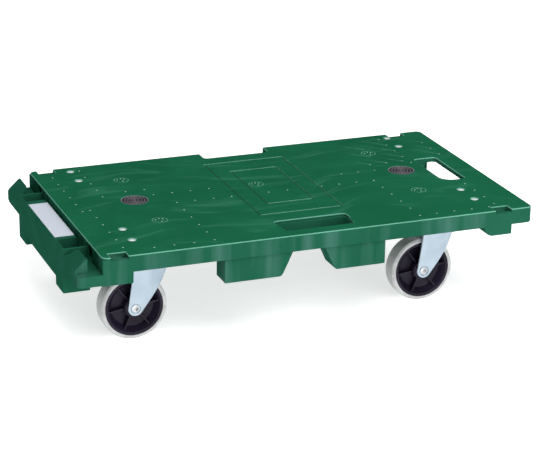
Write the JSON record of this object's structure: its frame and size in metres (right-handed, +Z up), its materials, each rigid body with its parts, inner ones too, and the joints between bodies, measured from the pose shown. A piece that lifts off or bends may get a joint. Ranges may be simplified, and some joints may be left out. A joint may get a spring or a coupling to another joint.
{
  "type": "platform dolly",
  "caption": "Low moulded plastic platform dolly with hand holes and a hooked link bar, on swivel plate casters.",
  "frame": {"origin": "centre of the footprint, on the floor under the wheels", "axes": "+X along the deck away from the link bar, +Y to the rear edge, +Z up"},
  "size_m": [0.712, 0.404, 0.159],
  "materials": {
    "deck_plastic": "moulded green polypropylene, satin",
    "pad_rubber": "ringed dark rubber",
    "label_paper": "blank white film sticker",
    "zinc": "bright zinc plate",
    "fork_zinc": "blue passivated zinc plate on pressed steel",
    "ball_steel": "polished",
    "axle_steel": "drawn steel",
    "core_plastic": "dark moulded nylon",
    "bush_plastic": "natural acetal",
    "tyre_rubber": "light grey non-marking rubber"
  },
  "bodies": {
    "deck": {"deck": "deck_plastic", "pad_left": "pad_rubber", "pad_right": "pad_rubber", "label": "label_paper", "deck_bolts": "zinc", "deck_nuts": "zinc", "plate_fl": "zinc", "plate_fr": "zinc", "plate_rl": "zinc", "plate_rr": "zinc", "king_pin_fl": "zinc", "king_pin_fr": "zinc", "king_pin_rl": "zinc", "king_pin_rr": "zinc", "race_cap_fl": "zinc", "race_cap_fr": "zinc", "race_cap_rl": "zinc", "race_cap_rr": "zinc"},
    "fork_body_fl": {"fork_fl": "fork_zinc", "upper_balls_fl": "ball_steel", "lower_balls_fl": "ball_steel", "axle_fl": "axle_steel", "sleeve_fl": "axle_steel", "washers_fl": "zinc"},
    "wheel_fl": {"core_fl": "core_plastic", "bush_fl": "bush_plastic", "tyre_fl": "tyre_rubber"},
    "fork_body_fr": {"fork_fr": "fork_zinc", "upper_balls_fr": "ball_steel", "lower_balls_fr": "ball_steel", "axle_fr": "axle_steel", "sleeve_fr": "axle_steel", "washers_fr": "zinc"},
    "wheel_fr": {"core_fr": "core_plastic", "bush_fr": "bush_plastic", "tyre_fr": "tyre_rubber"},
    "fork_body_rl": {"fork_rl": "fork_zinc", "upper_balls_rl": "ball_steel", "lower_balls_rl": "ball_steel", "axle_rl": "axle_steel", "sleeve_rl": "axle_steel", "washers_rl": "zinc"},
    "wheel_rl": {"core_rl": "core_plastic", "bush_rl": "bush_plastic", "tyre_rl": "tyre_rubber"},
    "fork_body_rr": {"fork_rr": "fork_zinc", "upper_balls_rr": "ball_steel", "lower_balls_rr": "ball_steel", "axle_rr": "axle_steel", "sleeve_rr": "axle_steel", "washers_rr": "zinc"},
    "wheel_rr": {"core_rr": "core_plastic", "bush_rr": "bush_plastic", "tyre_rr": "tyre_rubber"}
  },
  "joints": [
    {"name": "swivel_fl", "type": "hinge", "parent": "deck", "child": "fork_body_fl", "pos_m": [-0.215, -0.118, 0.107], "axis": [0, 0, 1], "continuous": true},
    {"name": "wheel_spin_fl", "type": "hinge", "parent": "fork_body_fl", "child": "wheel_fl", "pos_m": [-0.252, -0.118, 0.05], "axis": [0, 1, 0], "continuous": true},
    {"name": "swivel_fr", "type": "hinge", "parent": "deck", "child": "fork_body_fr", "pos_m": [0.246, -0.118, 0.107], "axis": [0, 0, 1], "continuous": true},
    {"name": "wheel_spin_fr", "type": "hinge", "parent": "fork_body_fr", "child": "wheel_fr", "pos_m": [0.209, -0.118, 0.05], "axis": [0, 1, 0], "continuous": true},
    {"name": "swivel_rl", "type": "hinge", "parent": "deck", "child": "fork_body_rl", "pos_m": [-0.215, 0.159, 0.107], "axis": [0, 0, 1], "continuous": true},
    {"name": "wheel_spin_rl", "type": "hinge", "parent": "fork_body_rl", "child": "wheel_rl", "pos_m": [-0.252, 0.159, 0.05], "axis": [0, 1, 0], "continuous": true},
    {"name": "swivel_rr", "type": "hinge", "parent": "deck", "child": "fork_body_rr", "pos_m": [0.246, 0.159, 0.107], "axis": [0, 0, 1], "continuous": true},
    {"name": "wheel_spin_rr", "type": "hinge", "parent": "fork_body_rr", "child": "wheel_rr", "pos_m": [0.209, 0.159, 0.05], "axis": [0, 1, 0], "continuous": true}
  ]
}
